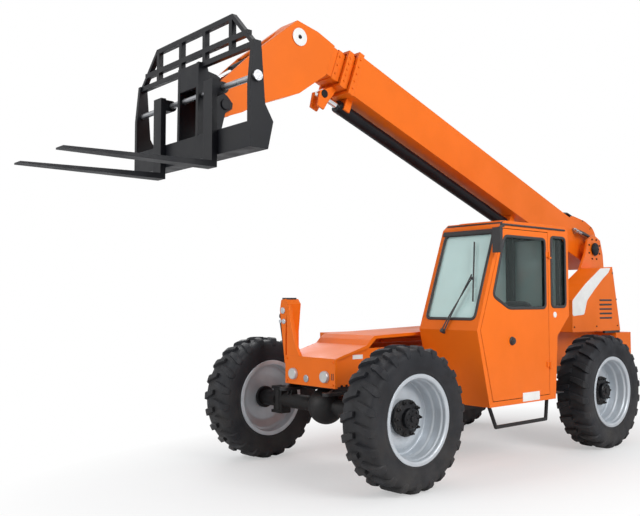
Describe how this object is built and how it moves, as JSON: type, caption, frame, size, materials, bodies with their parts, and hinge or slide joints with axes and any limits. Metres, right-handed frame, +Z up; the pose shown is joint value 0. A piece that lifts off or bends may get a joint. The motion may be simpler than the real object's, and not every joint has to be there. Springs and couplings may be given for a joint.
{
  "type": "telehandler",
  "caption": "Four-wheel telescopic handler with a side cab, a three-section boom raised at a low angle, and a pallet-fork carriage.",
  "frame": {"origin": "on the ground under the middle of the machine's overall box", "axes": "+X towards the front and the forks, +Y to the driver's left, +Z up"},
  "size_m": [7.62, 2.461, 4.2517],
  "materials": {
    "orange_paint": "gloss orange machine paint",
    "black_paint": "satin black paint",
    "silver_paint": "silver-grey wheel paint",
    "cast_iron": "rough casting",
    "steel": "bright bar",
    "chrome_rod": "hard chrome",
    "tinted_glass": "pale green safety glass",
    "lamp_glass": "clear ribbed lens",
    "tyre_rubber": "worn dark rubber",
    "hose_rubber": "matt hose cover",
    "black_plastic": "grained black plastic",
    "seat_cover": "black seat cloth"
  },
  "bodies": {
    "chassis": {"frame_plates": "orange_paint", "frame_cross": "orange_paint", "front_axle": "black_paint", "rear_axle": "black_paint", "front_deck": "orange_paint", "sway_tower": "orange_paint", "sway_cylinder": "black_paint", "rear_covers": "orange_paint", "counterweight": "orange_paint", "engine_pod": "orange_paint", "engine": "cast_iron", "cab_shell": "orange_paint", "cab_glass": "tinted_glass", "seat": "seat_cover", "steering_column": "black_plastic", "cab_step": "black_paint", "mirror": "black_plastic", "head_lamps": "lamp_glass"},
    "hood": {"engine_hood": "orange_paint"},
    "door": {"door_frame": "orange_paint", "door_glass": "tinted_glass", "door_handle": "black_plastic"},
    "knuckle_front_left": {"knuckle_front_left": "black_paint"},
    "wheel_front_left": {"tyre_front_left": "tyre_rubber", "rim_front_left": "silver_paint", "hub_front_left": "black_paint"},
    "knuckle_front_right": {"knuckle_front_right": "black_paint"},
    "wheel_front_right": {"tyre_front_right": "tyre_rubber", "rim_front_right": "silver_paint", "hub_front_right": "black_paint"},
    "knuckle_rear_left": {"knuckle_rear_left": "black_paint"},
    "wheel_rear_left": {"tyre_rear_left": "tyre_rubber", "rim_rear_left": "silver_paint", "hub_rear_left": "black_paint"},
    "knuckle_rear_right": {"knuckle_rear_right": "black_paint"},
    "wheel_rear_right": {"tyre_rear_right": "tyre_rubber", "rim_rear_right": "silver_paint", "hub_rear_right": "black_paint"},
    "outer_boom": {"boom_outer": "orange_paint", "extend_barrel": "black_paint", "boom_hoses": "hose_rubber"},
    "mid_boom": {"boom_mid": "orange_paint", "extend_rod": "chrome_rod"},
    "fly_boom": {"boom_fly": "orange_paint"},
    "lift_barrel": {"lift_barrel": "black_paint"},
    "lift_rod": {"lift_rod": "chrome_rod"},
    "tilt_barrel": {"tilt_barrel": "black_paint"},
    "tilt_rod": {"tilt_rod": "chrome_rod"},
    "carriage": {"carriage": "black_paint", "fork_shaft": "steel"},
    "fork_left": {"fork_left": "black_paint"},
    "fork_right": {"fork_right": "black_paint"}
  },
  "joints": [
    {"name": "steer_front_left", "type": "hinge", "parent": "chassis", "child": "knuckle_front_left", "pos_m": [0.97, 0.73, 0.625], "axis": [0, 0, 1], "range_deg": [-35, 35]},
    {"name": "roll_front_left", "type": "hinge", "parent": "knuckle_front_left", "child": "wheel_front_left", "pos_m": [0.97, 1.03, 0.625], "axis": [0, 1, 0], "continuous": true},
    {"name": "steer_front_right", "type": "hinge", "parent": "chassis", "child": "knuckle_front_right", "pos_m": [0.97, -0.73, 0.625], "axis": [0, 0, 1], "range_deg": [-35, 35]},
    {"name": "roll_front_right", "type": "hinge", "parent": "knuckle_front_right", "child": "wheel_front_right", "pos_m": [0.97, -1.03, 0.625], "axis": [0, 1, 0], "continuous": true},
    {"name": "steer_rear_left", "type": "hinge", "parent": "chassis", "child": "knuckle_rear_left", "pos_m": [-2.21, 0.73, 0.625], "axis": [0, 0, 1], "range_deg": [-35, 35]},
    {"name": "roll_rear_left", "type": "hinge", "parent": "knuckle_rear_left", "child": "wheel_rear_left", "pos_m": [-2.21, 1.03, 0.625], "axis": [0, 1, 0], "continuous": true},
    {"name": "steer_rear_right", "type": "hinge", "parent": "chassis", "child": "knuckle_rear_right", "pos_m": [-2.21, -0.73, 0.625], "axis": [0, 0, 1], "range_deg": [-35, 35]},
    {"name": "roll_rear_right", "type": "hinge", "parent": "knuckle_rear_right", "child": "wheel_rear_right", "pos_m": [-2.21, -1.03, 0.625], "axis": [0, 1, 0], "continuous": true},
    {"name": "boom_lift", "type": "hinge", "parent": "chassis", "child": "outer_boom", "pos_m": [-3.38, 0, 2.3], "axis": [0, -1, 0], "range_deg": [-25.5, 48]},
    {"name": "boom_extend", "type": "slide", "parent": "outer_boom", "child": "mid_boom", "axis": [0.9397, 0, 0.342], "range_m": [0, 2.6]},
    {"name": "fly_extend", "type": "slide", "parent": "mid_boom", "child": "fly_boom", "axis": [0.9397, 0, 0.342], "range_m": [0, 2.6]},
    {"name": "lift_barrel_swing", "type": "hinge", "parent": "chassis", "child": "lift_barrel", "pos_m": [-3.08, 0, 0.84], "axis": [0, -1, 0], "range_deg": [-4.09, 7.7]},
    {"name": "lift_rod_slide", "type": "slide", "parent": "lift_barrel", "child": "lift_rod", "axis": [0.2701, 0, 0.9628], "range_m": [-0.288, 0.5422]},
    {"name": "fork_tilt", "type": "hinge", "parent": "fly_boom", "child": "carriage", "pos_m": [2.26, 0, 3.31], "axis": [0, 1, 0], "range_deg": [-38, 85]},
    {"name": "tilt_barrel_swing", "type": "hinge", "parent": "fly_boom", "child": "tilt_barrel", "pos_m": [1.409, 0, 4.096], "axis": [0, 1, 0], "range_deg": [-0.091, 0.203]},
    {"name": "tilt_rod_slide", "type": "slide", "parent": "tilt_barrel", "child": "tilt_rod", "axis": [0.8423, 0, -0.5391], "range_m": [-0.1207, 0.2701]},
    {"name": "fork_left_slide", "type": "slide", "parent": "carriage", "child": "fork_left", "axis": [0, 1, 0], "range_m": [-0.165, 0.395]},
    {"name": "fork_right_slide", "type": "slide", "parent": "carriage", "child": "fork_right", "axis": [0, -1, 0], "range_m": [-0.165, 0.395]},
    {"name": "cab_door", "type": "hinge", "parent": "chassis", "child": "door", "pos_m": [-1.053, 1.164, 1.4], "axis": [0, 0, 1], "range_deg": [0, 95]},
    {"name": "engine_hood", "type": "hinge", "parent": "chassis", "child": "hood", "pos_m": [0.07, -0.431, 1.213], "axis": [-1, 0, 0], "range_deg": [0, 70]}
  ],
  "couplings": [
    {"joint": "steer_front_right", "follows": "steer_front_left", "ratio": 1},
    {"joint": "steer_rear_right", "follows": "steer_rear_left", "ratio": 1},
    {"joint": "fly_extend", "follows": "boom_extend", "ratio": 1},
    {"joint": "lift_barrel_swing", "follows": "boom_lift", "ratio": 0.15726},
    {"joint": "lift_rod_slide", "follows": "boom_lift", "m_per_rad": 0.63448},
    {"joint": "tilt_barrel_swing", "follows": "fork_tilt", "ratio": 0.00234},
    {"joint": "tilt_rod_slide", "follows": "fork_tilt", "m_per_rad": 0.17849}
  ]
}
